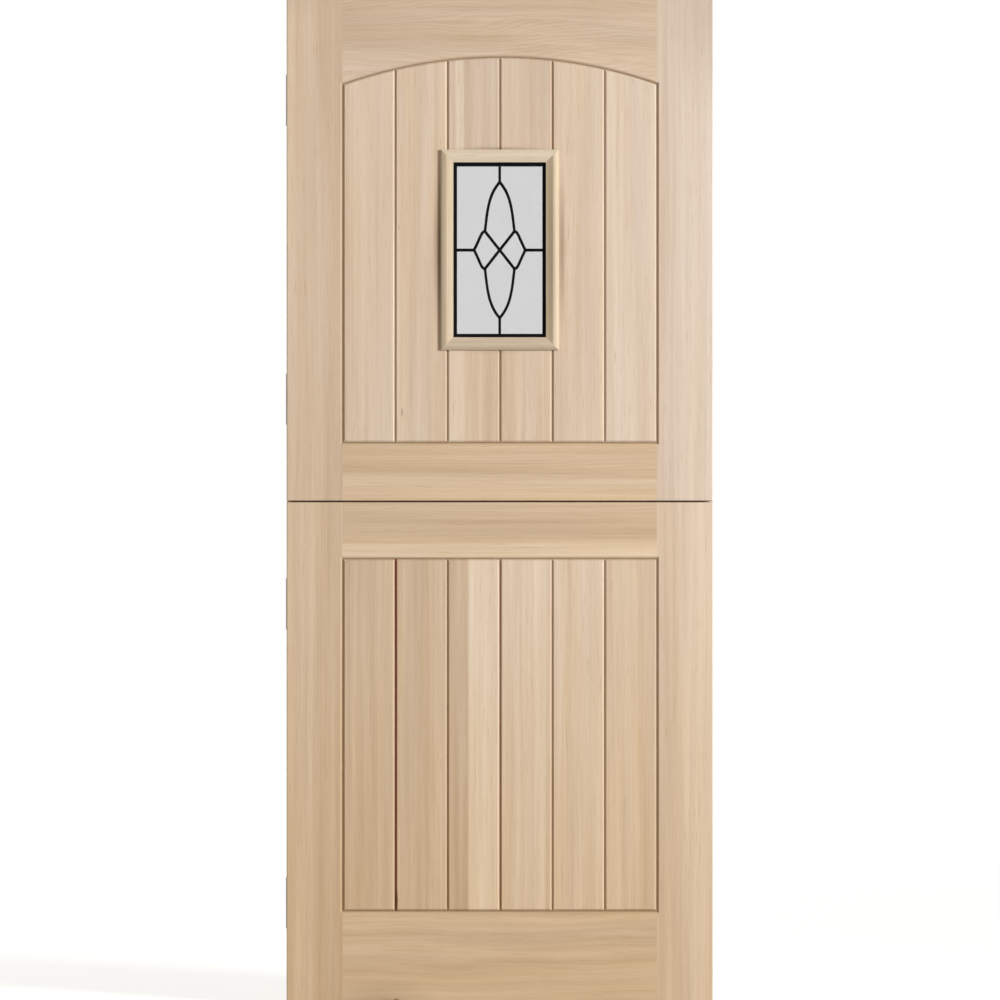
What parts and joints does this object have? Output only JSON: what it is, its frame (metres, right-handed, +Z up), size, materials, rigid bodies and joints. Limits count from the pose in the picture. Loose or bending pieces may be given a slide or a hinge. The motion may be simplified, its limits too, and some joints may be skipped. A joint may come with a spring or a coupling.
{
  "type": "arched stable door",
  "caption": "Boarded timber stable door in two separately hinged leaves, the upper with an arched panel head and a small leaded light in a mitred moulding.",
  "frame": {"origin": "middle of the closed door's bottom edge, half way through its thickness", "axes": "+X to the closing stile as seen from outside, +Y from the outer face to the room, +Z up"},
  "size_m": [0.84, 0.0645, 1.981],
  "materials": {
    "frame_timber": "matte",
    "boards": "matte",
    "moulding": "matte",
    "glass": "gloss",
    "came": "satin",
    "spacer": "satin",
    "rubber_seal": "matte",
    "packers": "matte",
    "hinge_steel": "satin",
    "hinge_screws": "satin"
  },
  "bodies": {
    "hinge_fixings": {"lower_leaf_bottom_hinge_frame_flap": "hinge_steel", "lower_leaf_bottom_hinge_pin": "hinge_steel", "lower_leaf_top_hinge_frame_flap": "hinge_steel", "lower_leaf_top_hinge_pin": "hinge_steel", "upper_leaf_bottom_hinge_frame_flap": "hinge_steel", "upper_leaf_bottom_hinge_pin": "hinge_steel", "upper_leaf_top_hinge_frame_flap": "hinge_steel", "upper_leaf_top_hinge_pin": "hinge_steel"},
    "lower_leaf": {"lower_board_1": "boards", "lower_board_2": "boards", "lower_board_3": "boards", "lower_board_4": "boards", "lower_board_5": "boards", "lower_board_6": "boards", "lower_bottom_rail": "frame_timber", "lower_closing_stile": "frame_timber", "lower_hinge_screws": "hinge_screws", "lower_hinge_stile": "frame_timber", "lower_leaf_bottom_hinge_door_flap": "hinge_steel", "lower_leaf_top_hinge_door_flap": "hinge_steel", "lower_meeting_rail": "frame_timber", "lower_meeting_seal": "rubber_seal"},
    "upper_leaf": {"upper_arched_rail": "frame_timber", "upper_board_1": "boards", "upper_board_2": "boards", "upper_board_3_above": "boards", "upper_board_3_below": "boards", "upper_board_4_above": "boards", "upper_board_4_below": "boards", "upper_board_5": "boards", "upper_board_6": "boards", "upper_closing_stile": "frame_timber", "upper_hinge_screws": "hinge_screws", "upper_hinge_stile": "frame_timber", "upper_leaf_bottom_hinge_door_flap": "hinge_steel", "upper_leaf_top_hinge_door_flap": "hinge_steel", "upper_meeting_rail": "frame_timber", "window_bead_bottom": "moulding", "window_bead_left": "moulding", "window_bead_right": "moulding", "window_bead_top": "moulding", "window_edge_seal": "rubber_seal", "window_inner_came": "came", "window_inner_pane": "glass", "window_inner_tape": "rubber_seal", "window_moulding_bottom": "moulding", "window_moulding_left": "moulding", "window_moulding_right": "moulding", "window_moulding_top": "moulding", "window_outer_came": "came", "window_outer_pane": "glass", "window_outer_tape": "rubber_seal", "window_packers": "packers", "window_spacer_bar": "spacer"}
  },
  "joints": [
    {"name": "lower_leaf_swing", "type": "hinge", "parent": "hinge_fixings", "child": "lower_leaf", "pos_m": [-0.4132, 0.028, 0], "axis": [0, 0, 1], "range_deg": [0, 90]},
    {"name": "upper_leaf_swing", "type": "hinge", "parent": "lower_leaf", "child": "upper_leaf", "pos_m": [-0.4132, 0.028, 0], "axis": [0, 0, 1], "range_deg": [0, 90]}
  ]
}
